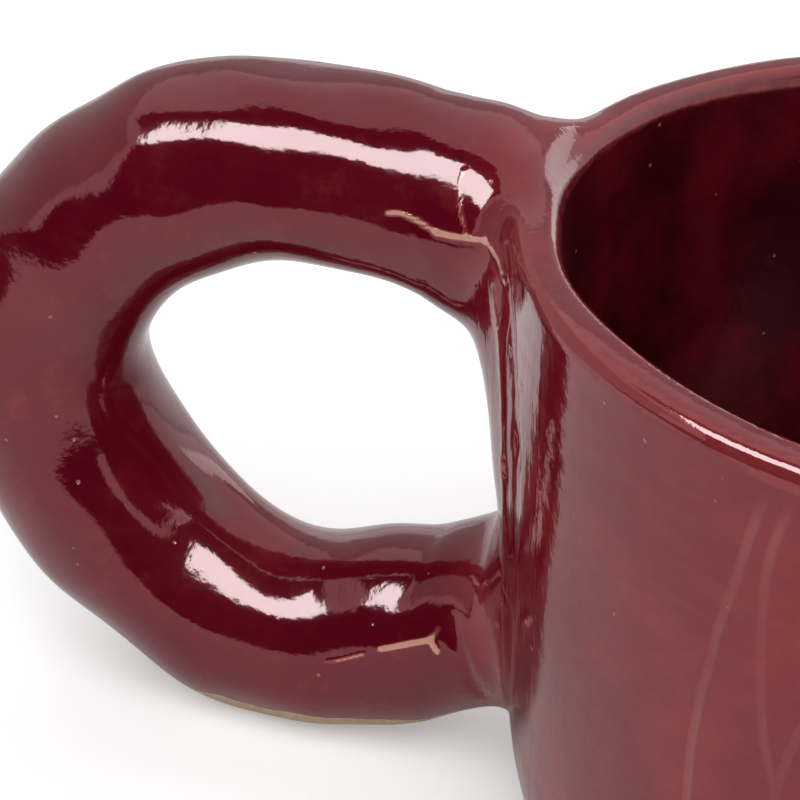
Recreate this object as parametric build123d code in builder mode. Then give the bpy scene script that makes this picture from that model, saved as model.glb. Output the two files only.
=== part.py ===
"""Hand-built stoneware drinking cup of the skyphos kind: a deep round wall on a floor slab, with a thick
looped coil handle on each side. Each loop is luted to the wall by two collars of soft clay and rests on the table
at its lowest point. Lengths are in millimetres. The cup's axis is Z, the handles lie along X, the table is Z = 0.
"""

from build123d import *

import os
from math import pi, sin, sqrt

# Cup wall and floor
cup_height = 70.0
rim_radius = 45.8
rim_flare = 1.2
wall_thickness = 4.7
foot_set_in = 7.2
foot_curve_height = 18.0
floor_thickness = 6.0
seam_coil_width = 9.0
seam_coil_height = 9.0
foot_ring_width = 7.4
underside_recess_depth = 1.0
foot_edge_round = 0.8

# Looped coil handles
coil_radius = 11.1
coil_end_radius = 8.2
loop_projection = 54.9
loop_top_drop = 3.3
table_pad_depth = 1.5
coil_section_count = 17

# Collars of soft clay round the two ends of each coil
collar_reach = 9.0
collar_edge = 0.5
upper_collar_spread = 5.0
lower_collar_spread = 1.4

# A cut runs this far past what it cuts
trim_overrun = 6.0

# The coil's centre line, from inside the wall at its upper root, over the loop, to inside the wall at its lower
# root. Each row: reach from the rim and height above the loop's lowest point, as shares of the loop's projection
# and of its rise.
coil_route_shares = [
    (-0.40, 0.68),
    (0.00, 0.90),
    (0.22, 0.98),
    (0.45, 1.00),
    (0.71, 0.93),
    (0.92, 0.75),
    (1.00, 0.52),
    (0.95, 0.30),
    (0.77, 0.11),
    (0.50, 0.00),
    (0.24, 0.05),
    (0.00, 0.15),
    (-0.40, 0.28),
]

# How far the upper collar is drawn down the wall, and the lower one up it, as shares of the loop's rise
upper_drop_share = 0.24
lower_rise_share = 0.08

# How far the coil's thickest stretch lies past the middle of its length, towards the lower root
swell_lag_share = 1.3

# The cove of a collar, from its thin edge on the coil into the wall. Each row: distance from the rim as a share of
# collar_reach, then the shares of the full flare reached there by its sides and by its top and bottom.
collar_cove_shares = [
    (1.00, 0.00, 0.00),
    (0.64, 0.04, 0.03),
    (0.36, 0.14, 0.14),
    (0.15, 0.32, 0.46),
    (0.00, 0.55, 1.00),
    (-0.60, 1.60, 2.20),
]

# Sizes that follow from those above
lip_radius = wall_thickness / 2
lip_centre_height = cup_height - lip_radius
lip_crest = (rim_radius - lip_radius, cup_height)
rim_inner_radius = rim_radius - wall_thickness
belly_radius = rim_radius - rim_flare
belly_inner_radius = belly_radius - wall_thickness
foot_radius = belly_radius - foot_set_in
underside_recess_radius = foot_radius - foot_ring_width
foot_arc_radius = (foot_set_in**2 + foot_curve_height**2) / (2 * foot_set_in)
foot_arc_centre = belly_radius - foot_arc_radius
seam_coil_top = floor_thickness + seam_coil_height
loop_bottom_height = coil_radius - table_pad_depth
loop_rise = cup_height - loop_top_drop - loop_bottom_height


def foot_arc_point(radius, height):
    """The point at a height on the circle of the rounded lower wall that has this radius."""
    return (foot_arc_centre + sqrt(radius**2 - (foot_curve_height - height) ** 2), height)


def foot_arc(radius, low, high):
    """The rounded lower wall's outline between two heights: the outside, or the inside at a smaller radius."""
    middle = (low + high) / 2
    return ThreePointArc(
        foot_arc_point(radius, low), foot_arc_point(radius, middle), foot_arc_point(radius, high)
    )


inner_arc_radius = foot_arc_radius - wall_thickness
inner_corner = foot_arc_point(inner_arc_radius, floor_thickness)
outer_corner = foot_arc_point(foot_arc_radius, floor_thickness)
seam_coil_upper = foot_arc_point(inner_arc_radius, seam_coil_top)
seam_coil_lower = (inner_corner[0] - seam_coil_width, floor_thickness)

# The cup's outline filled to its axis and open upwards: what the coils and collars are trimmed against
with BuildPart() as outer_envelope:
    with BuildSketch(Plane.XZ):
        with BuildLine():
            foot_arc(foot_arc_radius, 0, foot_curve_height)
            Line((belly_radius, foot_curve_height), (rim_radius, lip_centre_height))
            TangentArc((rim_radius, lip_centre_height), lip_crest, tangent=(0, 1))
            Polyline(
                lip_crest,
                (lip_crest[0], cup_height + trim_overrun),
                (0, cup_height + trim_overrun),
                (0, 0),
                (foot_radius, 0),
            )
        make_face()
    revolve(axis=Axis.Z)

# Wall: a thick upright band with a fully rounded lip, whose rounded foot stands on the floor slab
with BuildPart() as cup_wall:
    with BuildSketch(Plane.XZ):
        with BuildLine():
            foot_arc(foot_arc_radius, floor_thickness, foot_curve_height)
            Line((belly_radius, foot_curve_height), (rim_radius, lip_centre_height))
            ThreePointArc(
                (rim_radius, lip_centre_height), lip_crest, (rim_inner_radius, lip_centre_height)
            )
            Line((rim_inner_radius, lip_centre_height), (belly_inner_radius, foot_curve_height))
            foot_arc(inner_arc_radius, foot_curve_height, floor_thickness)
            Line(inner_corner, outer_corner)
        make_face()
    revolve(axis=Axis.Z)
cup_wall.part.label = "cup_wall"

# Floor: a round slab whose edge carries on the wall's curve, hollowed a little underneath
with BuildPart() as floor_slab:
    with BuildSketch(Plane.XZ):
        with BuildLine():
            foot_arc(foot_arc_radius, 0, floor_thickness)
            Polyline(
                outer_corner,
                (0, floor_thickness),
                (0, underside_recess_depth),
                (underside_recess_radius, underside_recess_depth),
                (underside_recess_radius, 0),
                (foot_radius, 0),
            )
        make_face()
    revolve(axis=Axis.Z)
    standing_edges = floor_slab.edges().group_by(Axis.Z)[0]
    fillet(standing_edges, radius=foot_edge_round)
floor_slab.part.label = "floor_slab"

# Seam coil: the roll of soft clay pressed into the corner inside, which turns it into a cove
with BuildPart() as seam_coil:
    with BuildSketch(Plane.XZ):
        with BuildLine():
            foot_arc(inner_arc_radius, seam_coil_top, floor_thickness)
            Line(inner_corner, seam_coil_lower)
            TangentArc(seam_coil_lower, seam_coil_upper, tangent=(1, 0))
        make_face()
    revolve(axis=Axis.Z)
    add(cup_wall, mode=Mode.SUBTRACT)
seam_coil.part.label = "seam_coil"


def coil_radius_at(position):
    """The coil's radius at a share of its length: thin at its ends and thickest low on the loop."""
    return coil_end_radius + (coil_radius - coil_end_radius) * sin(pi * position**swell_lag_share)


# Centre line of the left coil, in the plane of X and Z
with BuildLine() as coil_line:
    Spline(
        *[
            (-rim_radius - loop_projection * reach, 0, loop_bottom_height + loop_rise * height)
            for reach, height in coil_route_shares
        ]
    )
coil_path = coil_line.edges()[0]

# The rolled coil bent to its loop, with its ends still untrimmed inside the wall
with BuildPart() as whole_coil:
    for index in range(coil_section_count):
        position = index / (coil_section_count - 1)
        with BuildSketch(Plane(coil_path.location_at(position, x_dir=(0, 1, 0)))):
            Circle(coil_radius_at(position))
    loft()

# Left handle: the coil fitted to the wall and lip, and pressed flat where it rests on the table
with BuildPart() as handle_coil:
    add(whole_coil)
    add(outer_envelope, mode=Mode.SUBTRACT)
    split(bisect_by=Plane.XY, keep=Keep.TOP)


def make_collar(root, drop, rise, spread):
    """A cove of soft clay round one root of the coil: it widens towards the wall, and reaches down or up it."""
    with BuildPart() as collar:
        for reach, side_flare, upright_flare in collar_cove_shares:
            upright = Plane(
                origin=(-rim_radius - collar_reach * reach, 0, 0), x_dir=(0, 1, 0), z_dir=(1, 0, 0)
            )
            centre = coil_path.intersect(upright).sort_by(Axis.Z)[root]
            half_width = coil_radius_at(coil_path.param_at_point(centre)) + collar_edge
            half_height = half_width / coil_path.tangent_at(centre).dot(upright.z_dir)
            with BuildSketch(upright.shift_origin(centre)):
                with BuildLine():
                    for stretch, start in ((rise, 0), (drop, 180)):
                        EllipticalCenterArc(
                            (0, 0),
                            half_width + spread * side_flare,
                            abs(half_height) + stretch * upright_flare,
                            start_angle=start,
                            arc_size=180,
                        )
                make_face()
        loft()
    return collar.part


lowest, highest = 0, -1

# Upper collar: drawn down the wall below the coil, and level with the rim
with BuildPart() as upper_collar:
    add(make_collar(highest, upper_drop_share * loop_rise, 0, upper_collar_spread))
    add(whole_coil, mode=Mode.SUBTRACT)
    add(outer_envelope, mode=Mode.SUBTRACT)

# Lower collar: drawn up the wall above the coil until it meets the upper one
with BuildPart() as lower_collar:
    add(make_collar(lowest, 0, lower_rise_share * loop_rise, lower_collar_spread))
    add(whole_coil, mode=Mode.SUBTRACT)
    add(outer_envelope, mode=Mode.SUBTRACT)
    add(upper_collar, mode=Mode.SUBTRACT)
    split(bisect_by=Plane.XY, keep=Keep.TOP)

pieces = [cup_wall.part, floor_slab.part, seam_coil.part]
for name, left in (
    ("handle_coil", handle_coil),
    ("upper_collar", upper_collar),
    ("lower_collar", lower_collar),
):
    left.part.label = f"{name}_left"
    with BuildPart() as right:
        mirror(left.part, about=Plane.YZ)
    right.part.label = f"{name}_right"
    pieces += [left.part, right.part]

os.makedirs("parts", exist_ok=True)
for piece in pieces:
    export_step(piece, f"parts/{piece.label}.step")
    print(piece.label, "solids", len(piece.solids()), "volume", round(piece.volume))
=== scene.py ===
"""Dressed scene of a hand-built stoneware drinking cup with a thick looped coil handle luted to each side.

The clay is shaped as one field of distances in millimetres: wall, coils and collars melt into each other where a
potter has smoothed them. Raw forms made with bmesh operators are merged, laid on that field and parted again into
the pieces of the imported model. Everything built here is in metres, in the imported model's frame.
"""

import logging
import math
from dataclasses import dataclass
from enum import Enum

import bmesh
import bpy
import numpy as np
from mathutils import Matrix, Vector


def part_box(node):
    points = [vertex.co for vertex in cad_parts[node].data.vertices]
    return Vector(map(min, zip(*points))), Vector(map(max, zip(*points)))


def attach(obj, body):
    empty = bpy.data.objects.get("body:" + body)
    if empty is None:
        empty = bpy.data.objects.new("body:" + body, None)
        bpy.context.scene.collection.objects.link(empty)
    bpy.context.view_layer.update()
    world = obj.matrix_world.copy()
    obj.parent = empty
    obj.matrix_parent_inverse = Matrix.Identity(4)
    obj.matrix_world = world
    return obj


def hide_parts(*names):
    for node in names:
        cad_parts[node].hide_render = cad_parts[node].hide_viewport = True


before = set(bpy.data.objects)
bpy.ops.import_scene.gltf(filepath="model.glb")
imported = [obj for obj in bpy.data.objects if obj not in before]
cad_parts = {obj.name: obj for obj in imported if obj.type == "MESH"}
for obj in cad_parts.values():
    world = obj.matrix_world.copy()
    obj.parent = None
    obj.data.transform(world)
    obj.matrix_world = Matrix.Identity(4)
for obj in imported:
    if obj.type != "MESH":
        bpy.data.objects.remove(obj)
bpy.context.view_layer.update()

MM = 0.001
RIM_RADIUS = 45.8  # mm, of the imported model's wall outside
COLLAR_REACH = 9.0  # mm from the rim to a collar's edge on the coil
Socket = bpy.types.NodeSocket
log = logging.getLogger("cup")


class Side(Enum):
    """Which of the two handles, by the sign of X on its side."""

    LEFT = -1
    RIGHT = 1


def smooth_union(one: np.ndarray, other: np.ndarray, reach: float) -> np.ndarray:
    """Melts two fields together with a fillet.

    Args:
        one: Distances to the first form.
        other: Distances to the second form.
        reach: How far apart the two surfaces may be and still flow together, in mm.

    Returns:
        Distances to the joined form.
    """
    blend = np.maximum(reach - np.abs(one - other), 0.0) / reach
    return np.minimum(one, other) - blend**3 * reach / 6.0


def smooth_cut(one: np.ndarray, other: np.ndarray, reach: float) -> np.ndarray:
    """Keeps what lies in both fields, with a rounded edge.

    Args:
        one: Distances to the first form.
        other: Distances to the second form.
        reach: Width of the rounding, in mm.

    Returns:
        Distances to what both share.
    """
    return -smooth_union(-one, -other, reach)


def ramp(low: float, high: float, value: np.ndarray) -> np.ndarray:
    """Smooth step from 0 at low to 1 at high."""
    share = np.clip((value - low) / (high - low), 0.0, 1.0)
    return share * share * (3.0 - 2.0 * share)


def mesh_of(bm: bmesh.types.BMesh, name: str) -> bpy.types.Mesh:
    """A new mesh with what is in the bmesh, which is freed.

    Args:
        bm: The bmesh, free to be used up.
        name: The mesh's name.

    Returns:
        The mesh.
    """
    mesh = bpy.data.meshes.new(name)
    bm.to_mesh(mesh)
    bm.free()
    return mesh


def linked(name: str, data: bpy.types.ID) -> bpy.types.Object:
    """A new object with this data, at the origin and in the scene.

    Args:
        name: The object's name.
        data: Its mesh, camera or light.

    Returns:
        The object.
    """
    made = bpy.data.objects.new(name, data)
    bpy.context.scene.collection.objects.link(made)
    return made


@dataclass(frozen=True)
class Lumps:
    """Soft unevenness left by fingers: a seeded sum of waves in all directions."""

    seed: int
    wavelength: float
    height: float
    waves: int = 9

    def at(self, points: np.ndarray) -> np.ndarray:
        """Height of the unevenness.

        Args:
            points: Places in mm, one row each.

        Returns:
            Heights in mm, about within plus and minus the height.
        """
        dice = np.random.default_rng(self.seed)
        ways = dice.normal(size=(self.waves, 3))
        ways /= np.linalg.norm(ways, axis=1)[:, None]
        pitch = dice.uniform(0.7, 1.5, self.waves)[:, None]
        phases = dice.uniform(0.0, 2.0 * math.pi, self.waves)
        turns = points @ (ways * 2.0 * math.pi / (self.wavelength * pitch)).T + phases
        return np.sin(turns).sum(axis=1) * self.height * 1.4 / math.sqrt(self.waves)


@dataclass
class CupForm:
    """The bowl: a wall of even thickness on a rounded foot, with a soft lip that stands higher at the handles."""

    half_wall: float = 2.35
    foot_arc_centre: float = 18.5
    foot_arc_radius: float = 23.75
    foot_curve_height: float = 18.0
    belly_radius: float = 42.25
    lip_radius: float = 43.45
    lip_height: float = 67.65
    lip_corner: float = 1.5
    lip_crown: float = 0.05
    wall_bottom: float = 6.0
    pull_left: float = 1.1
    pull_right: float = 0.4
    rise_behind: float = 0.7
    rim_wave: float = 0.22

    def rim_rise(self, points: np.ndarray) -> np.ndarray:
        """How far the rim stands above its even height at these places, in mm.

        Args:
            points: Places in mm.

        Returns:
            Heights in mm: the pull towards each handle, the rise behind and a slow wave.
        """
        x, y = points[:, 0] / RIM_RADIUS, points[:, 1] / RIM_RADIUS
        pull = np.where(x < 0.0, self.pull_left, self.pull_right) * x * x
        return pull + self.rise_behind * y + self.rim_wave * np.sin(5.0 * np.arctan2(y, x) + 0.6)

    def lowered(self, points: np.ndarray) -> np.ndarray:
        """Heights with the rim's rise taken off, so that an even form becomes the pulled one."""
        z = points[:, 2]
        return z - self.rim_rise(points) * ramp(20.0, 66.0, z)

    def middle_arc(self, height: np.ndarray, outwards: float = 0.0) -> np.ndarray:
        """Radius of the foot's curve at these heights, in mm, as far outwards from the middle of the wall."""
        low = np.clip(self.foot_curve_height - height, 0.0, 22.0)
        return self.foot_arc_centre + np.sqrt((self.foot_arc_radius + outwards) ** 2 - low**2)

    def middle_radius(self, height: np.ndarray) -> np.ndarray:
        """Radius of the middle of the wall at these heights, in mm.

        Args:
            height: Heights above the table in mm.

        Returns:
            One radius for each.
        """
        rise = self.lip_height - self.foot_curve_height
        climb = np.clip(height - self.foot_curve_height, 0.0, rise)
        return self.middle_arc(height) + (self.lip_radius - self.belly_radius) * climb / rise

    def proud(self, points: np.ndarray) -> np.ndarray:
        """How far these places stand out from the wall's outside, in mm."""
        return np.hypot(points[:, 0], points[:, 1]) - self.middle_radius(self.lowered(points)) - self.half_wall

    def wall_field(self, points: np.ndarray) -> np.ndarray:
        """Distance to the wall.

        Args:
            points: Places in mm.

        Returns:
            Distances in mm, negative in the clay.
        """
        r = np.hypot(points[:, 0], points[:, 1])
        z = self.lowered(points)
        arc = np.abs(np.hypot(r - self.foot_arc_centre, z - self.foot_curve_height) - self.foot_arc_radius)
        rise = self.lip_height - self.foot_curve_height
        lean = self.lip_radius - self.belly_radius
        length = math.hypot(rise, lean)
        along = ((r - self.belly_radius) * lean + (z - self.foot_curve_height) * rise) / length
        across = np.abs((r - self.belly_radius) * rise - (z - self.foot_curve_height) * lean) / length
        flat = self.half_wall - self.lip_corner
        beside = across - flat
        above = along + self.lip_crown * across**2 - length - flat
        corner = np.hypot(np.maximum(beside, 0.0), np.maximum(above, 0.0))
        line = corner + np.minimum(np.maximum(beside, above), 0.0) - self.lip_corner
        return np.where(z < self.foot_curve_height, arc - self.half_wall, line)

    def raw(self, bm: bmesh.types.BMesh) -> None:
        """Spins the wall's closed outline round the cup's axis into the bmesh.

        Args:
            bm: The bmesh that takes the wall, in mm.
        """
        heights = [self.wall_bottom, 9.0, 12.0, 15.0, 18.0, 35.0, 52.0, self.lip_height]
        outline = [(float(self.middle_radius(np.array([h]))[0]) + self.half_wall, h) for h in heights]
        for step in range(1, 6):
            over, up = (self.half_wall * turned(math.pi * step / 6) for turned in (math.cos, math.sin))
            outline.append((self.lip_radius + over, self.lip_height + up))
        outline += [(radius - 2 * self.half_wall, h) for radius, h in reversed(outline[: len(heights)])]
        spin_outline(bm, outline, steps=128)


def spin_outline(bm: bmesh.types.BMesh, outline: list[tuple[float, float]], steps: int, closed: bool = True) -> None:
    """Turns an outline of radii and heights about the Z axis.

    Args:
        bm: The bmesh that takes the turned form.
        outline: Radius and height of each corner, in order.
        steps: Number of parts of the full turn.
        closed: Whether the last corner joins the first.
    """
    corners = [bm.verts.new((radius, 0.0, height)) for radius, height in outline]
    edges = [bm.edges.new(pair) for pair in zip(corners, corners[1:])]
    if closed:
        edges.append(bm.edges.new((corners[-1], corners[0])))
    bmesh.ops.spin(
        bm, geom=corners + edges, cent=(0, 0, 0), axis=(0, 0, 1), angle=2 * math.pi, steps=steps, use_merge=True
    )
    bmesh.ops.remove_doubles(bm, verts=bm.verts, dist=1e-5)
    bmesh.ops.recalc_face_normals(bm, faces=bm.faces)


class SmoothLine:
    """A natural cubic spline through points, with lengths along it as its measure."""

    def __init__(self, knots: np.ndarray) -> None:
        """Fits the spline.

        Args:
            knots: Points in mm, one row each.
        """
        self.knots = knots
        self.marks = np.concatenate([[0.0], np.cumsum(np.linalg.norm(np.diff(knots, axis=0), axis=1))])
        gaps = np.diff(self.marks)
        count = len(knots)
        system = np.eye(count)
        pull = np.zeros((count, knots.shape[1]))
        for i in range(1, count - 1):
            system[i, i - 1 : i + 2] = gaps[i - 1], 2 * (gaps[i - 1] + gaps[i]), gaps[i]
            pull[i] = 6 * ((knots[i + 1] - knots[i]) / gaps[i] - (knots[i] - knots[i - 1]) / gaps[i - 1])
        self.bends = np.linalg.solve(system, pull)

    @property
    def length(self) -> float:
        """The spline's measure from end to end, in mm."""
        return float(self.marks[-1])

    def at(self, mark: np.ndarray, order: int = 0) -> np.ndarray:
        """Point or derivative at these marks.

        Args:
            mark: Lengths along the line.
            order: 0 for the point, 1 for the direction, 2 for the bend.

        Returns:
            One row for each mark.
        """
        mark = np.clip(mark, 0.0, self.length)
        i = np.clip(np.searchsorted(self.marks, mark) - 1, 0, len(self.marks) - 2)
        gap = (self.marks[i + 1] - self.marks[i])[:, None]
        u = (mark - self.marks[i])[:, None]
        v = gap - u
        low, high, m0, m1 = self.knots[i], self.knots[i + 1], self.bends[i], self.bends[i + 1]
        if order == 0:
            chord = (low / gap - m0 * gap / 6) * v + (high / gap - m1 * gap / 6) * u
            return (m0 * v**3 + m1 * u**3) / (6 * gap) + chord
        if order == 1:
            return (m1 * u**2 - m0 * v**2) / (2 * gap) + (high - low) / gap - gap * (m1 - m0) / 6
        return (m0 * v + m1 * u) / gap

    def near_marks(self, points: np.ndarray, samples: int = 240) -> np.ndarray:
        """The nearest of evenly spaced marks for each point.

        Args:
            points: Places in mm.
            samples: Number of marks tried.

        Returns:
            The marks, to be refined by nearest.
        """
        marks = np.linspace(0.0, self.length, samples)
        spots = self.at(marks)
        best = np.empty(len(points), int)
        for start in range(0, len(points), 20000):
            part = points[start : start + 20000]
            gaps = (part**2).sum(1)[:, None] - 2 * part @ spots.T + (spots**2).sum(1)[None]
            best[start : start + 20000] = gaps.argmin(1)
        return marks[best]

    def nearest(self, points: np.ndarray, mark: np.ndarray) -> tuple[np.ndarray, np.ndarray]:
        """Nearest mark and distance of each point.

        Args:
            points: Places in mm.
            mark: A mark near the nearest one for each.

        Returns:
            The marks and the distances.
        """
        for _ in range(2):
            away = points - self.at(mark)
            way, bend = self.at(mark, 1), self.at(mark, 2)
            slope = (away * way).sum(1)
            steep = (way**2).sum(1) - (away * bend).sum(1)
            mark = np.clip(mark + np.clip(slope / np.maximum(steep, 0.2), -1.0, 1.0), 0.0, self.length)
        return mark, np.linalg.norm(points - self.at(mark), axis=1)


@dataclass(frozen=True)
class CollarForm:
    """Soft clay drawn from one end of the coil over the wall, as half ellipses that widen towards the wall."""

    upper: bool
    drop: float
    rise: float
    spread: float
    reach: float = COLLAR_REACH
    edge: float = -0.2


@dataclass(frozen=True)
class Seam:
    """A line on the clay where it broke, was pressed or was drawn together: points in mm on the left loop."""

    points: tuple[tuple[float, float, float], ...]
    height: float
    pale: float
    width: float = 0.4

    def strength(self, places_mm: np.ndarray) -> np.ndarray:
        """How strongly the seam shows, from 1 on it to 0 away from it.

        Args:
            places_mm: Places in mm, on the left side.

        Returns:
            One share for each place.
        """
        knots = np.array(self.points)
        shown = np.zeros(len(places_mm))
        low, high = knots.min(0) - 3 * self.width, knots.max(0) + 3 * self.width
        near = ((places_mm > low) & (places_mm < high)).all(axis=1)
        if near.any():
            spots = places_mm[near]
            gap = np.full(len(spots), 9.0)
            for start, end in zip(knots, knots[1:]):
                way = end - start
                share = np.clip((spots - start) @ way / (way @ way), 0.0, 1.0)
                gap = np.minimum(gap, np.linalg.norm(spots - start - share[:, None] * way, axis=1))
            shown[near] = np.exp(-((gap / self.width) ** 2))
        return shown


# The cracks and folds of the near joint, as the photograph shows them: first the upper crack, then the two folds and
# the two creases beside the strip, the ridge where the coil was pressed on, the lower break, and the lower crease
LEFT_SEAMS = (
    Seam(((-50.5, -7.4, 71.8), (-50.7, -8.4, 70.3), (-49.9, -9.6, 68.4), (-48.9, -10.4, 66.7)), 0.10, 0.42, 0.28),
    Seam(((-45.2, -13.3, 63.4), (-43.9, -15.3, 58.6), (-43.0, -16.5, 53.4), (-42.4, -17.1, 46.4)), 0.40, 0.10, 1.1),
    Seam(((-42.4, -17.1, 46.4), (-42.3, -16.4, 39.5), (-42.9, -13.9, 30.6)), 0.40, 0.10, 1.1),
    Seam(((-43.3, -16.0, 64.1), (-41.9, -18.5, 60.5), (-40.9, -20.2, 56.3), (-40.2, -21.2, 51.7)), -0.30, 0.0, 1.6),
    Seam(((-40.2, -21.2, 51.7), (-39.9, -21.4, 46.4), (-40.1, -20.5, 40.2), (-40.6, -18.8, 33.1)), -0.30, 0.0, 1.6),
    Seam(((-57.5, -9.2, 67.1), (-56.2, -9.1, 67.3), (-54.0, -9.5, 66.9), (-52.2, -9.9, 66.3)), 0.12, 0.60, 0.30),
    Seam(((-52.2, -9.9, 66.3), (-50.8, -10.1, 66.3), (-48.9, -10.5, 66.5), (-46.9, -11.2, 67.0)), 0.16, 0.65, 0.34),
    Seam(((-46.9, -11.2, 67.0), (-45.2, -12.8, 66.2), (-44.0, -14.6, 64.9), (-42.7, -17.1, 64.3)), 0.16, 0.50, 0.40),
    Seam(((-64.0, -10.2, 13.0), (-62.1, -10.4, 13.8), (-59.5, -10.4, 15.2)), 0.08, 0.60, 0.26),
    Seam(((-57.6, -10.3, 16.3), (-54.3, -10.1, 17.8), (-52.1, -9.9, 18.7), (-51.2, -10.3, 17.7)), 0.16, 1.15, 0.32),
    Seam(((-52.1, -9.9, 18.7), (-51.3, -9.2, 20.0)), 0.14, 1.10, 0.30),
    Seam(((-50.0, -9.4, 21.5), (-49.3, -9.7, 20.0), (-48.2, -10.1, 17.6), (-46.6, -9.6, 13.0)), -0.40, 0.0, 0.9),
)


@dataclass
class LoopForm:
    """One looped coil with its two collars, described for the left side and turned half round for the right."""

    side: Side
    projection: float = 54.9
    bottom: float = 9.6
    rise: float = 57.1
    coil_radius: float = 11.4
    end_radius: float = 8.6
    swell_lag: float = 1.3
    bend_swell: float = 0.45
    route: tuple[tuple[float, float], ...] = (
        (-0.40, 0.68),
        (0.00, 0.90),
        (0.22, 0.98),
        (0.45, 1.00),
        (0.70, 0.925),
        (0.92, 0.75),
        (1.00, 0.52),
        (0.94, 0.305),
        (0.77, 0.11),
        (0.50, 0.00),
        (0.24, 0.05),
        (0.00, 0.15),
        (-0.40, 0.28),
    )
    upper_collar: CollarForm = CollarForm(True, 13.5, 1.0, 6.0)
    lower_collar: CollarForm = CollarForm(False, 0.5, 4.5, 1.8)
    seams: tuple[Seam, ...] = LEFT_SEAMS
    shoulder: float = 0.4
    collar_fillet: float = 1.6
    web_lift: float = 1.9
    web_middle: float = -48.6
    web_length: float = 5.0
    web_width: float = 11.5
    strip_low: float = 4.0
    strip_high: float = 5.8
    strip_width: float = 9.6
    strip_fillet: float = 4.0
    trim_plane: float = -43.4
    seed: int = 11

    def __post_init__(self) -> None:
        """Fits the centre line and the soft unevenness."""
        knots = [(-RIM_RADIUS - self.projection * reach, 0.0, self.bottom + self.rise * up) for reach, up in self.route]
        self.line = SmoothLine(np.array(knots))
        self.swells = Lumps(self.seed, 26.0, 0.34)
        self.presses = Lumps(self.seed + 1, 10.0, 0.11)
        self.frays = Lumps(self.seed + 2, 12.0, 1.0)

    def radius(self, mark: np.ndarray) -> np.ndarray:
        """The coil's radius at these marks, in mm.

        Args:
            mark: Lengths along the coil's line.

        Returns:
            One radius for each.
        """
        share = np.clip(mark / self.line.length, 0.0, 1.0)
        even = self.end_radius + (self.coil_radius - self.end_radius) * np.sin(math.pi * share**self.swell_lag)
        return even + self.bend_swell * np.exp(-(((share - 0.47) / 0.10) ** 2))

    def root(self, x: np.ndarray, upper: bool) -> tuple[np.ndarray, np.ndarray, np.ndarray]:
        """Centre height, radius and slant factor of the coil where it crosses upright planes near one root.

        Args:
            x: Places of the planes in mm, on the left side.
            upper: Whether the upper root is meant.

        Returns:
            Heights of the centre, the coil's radii, and how much the slant stretches the section.
        """
        share = np.linspace(0.0, 0.30, 60) if upper else np.linspace(1.0, 0.70, 60)
        marks = share * self.line.length
        spots, ways = self.line.at(marks), self.line.at(marks, 1)
        slant = np.linalg.norm(ways, axis=1) / np.maximum(np.abs(ways[:, 0]), 0.35)
        xs = spots[:, 0][::-1]
        return (
            np.interp(x, xs, spots[:, 2][::-1]),
            np.interp(x, xs, self.radius(marks)[::-1]),
            np.interp(x, xs, slant[::-1]),
        )

    def flare(self, share: np.ndarray) -> tuple[np.ndarray, np.ndarray]:
        """Shares of a collar's flare at its sides and upright, from its edge on the coil (1) to the rim (0)."""
        run = np.maximum(1.0 - share, 0.0)
        return 1.6 * np.tanh(0.36 * run**2.8), 2.2 * np.tanh(0.50 * run**4.5)

    def collar_field(self, form: CollarForm, points: np.ndarray) -> np.ndarray:
        """Distance to one collar.

        Args:
            form: Which collar.
            points: Places in mm, on the left side.

        Returns:
            Distances in mm.
        """
        x, y, z = points.T
        centre, radius, slant = self.root(x, form.upper)
        share = (-RIM_RADIUS - x) / form.reach
        side, upright = self.flare(share)
        wide = radius + form.edge + form.spread * side
        tall = (radius + form.edge) * slant + np.where(z > centre, form.rise, form.drop) * upright
        square = 2.0 + self.shoulder * np.clip(upright, 0.0, 1.0) * (z > centre) * form.upper
        across, along = np.abs(y) / wide, np.abs(z - centre) / tall
        around = np.maximum(across**square + along**square, 1e-9) ** (1.0 / square)
        body = (around - 1.0) * np.where(z > centre, np.minimum(wide, tall), wide)
        ragged = self.frays.at(points)
        return smooth_cut(body, -RIM_RADIUS - x - form.reach - ragged, 3.0)

    def strip_field(self, points: np.ndarray) -> np.ndarray:
        """Distance to the low strip of clay smoothed up the wall between the two roots, on the left side.

        Args:
            points: Places in mm, on the left side.

        Returns:
            Distances in mm.
        """
        x, y, z = points.T
        share = ramp(28.0, 54.0, z)
        deep = self.strip_low + (self.strip_high - self.strip_low) * share
        around = np.hypot((x + 43.0) / deep, y / self.strip_width)
        body = (around - 1.0) * deep
        return smooth_cut(body, np.abs(z - 40.0) - 21.0, 6.0)

    def near(self, points: np.ndarray) -> np.ndarray:
        """Which of these points lie on the loop's side of the cup, 30 mm or more from its axis."""
        return points[:, 0] * self.side.value > 30.0

    def hints(self, points: np.ndarray) -> tuple[np.ndarray, np.ndarray]:
        """Which points are near the loop, and a mark on its line near each of those."""
        near = self.near(points)
        return near, self.line.near_marks(self.on_left(points[near]))

    def on_left(self, points: np.ndarray) -> np.ndarray:
        """The same places on the left loop: the right loop is that one turned half round the cup's axis."""
        turn = float(-self.side.value)
        return points * (turn, turn, 1.0)

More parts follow.
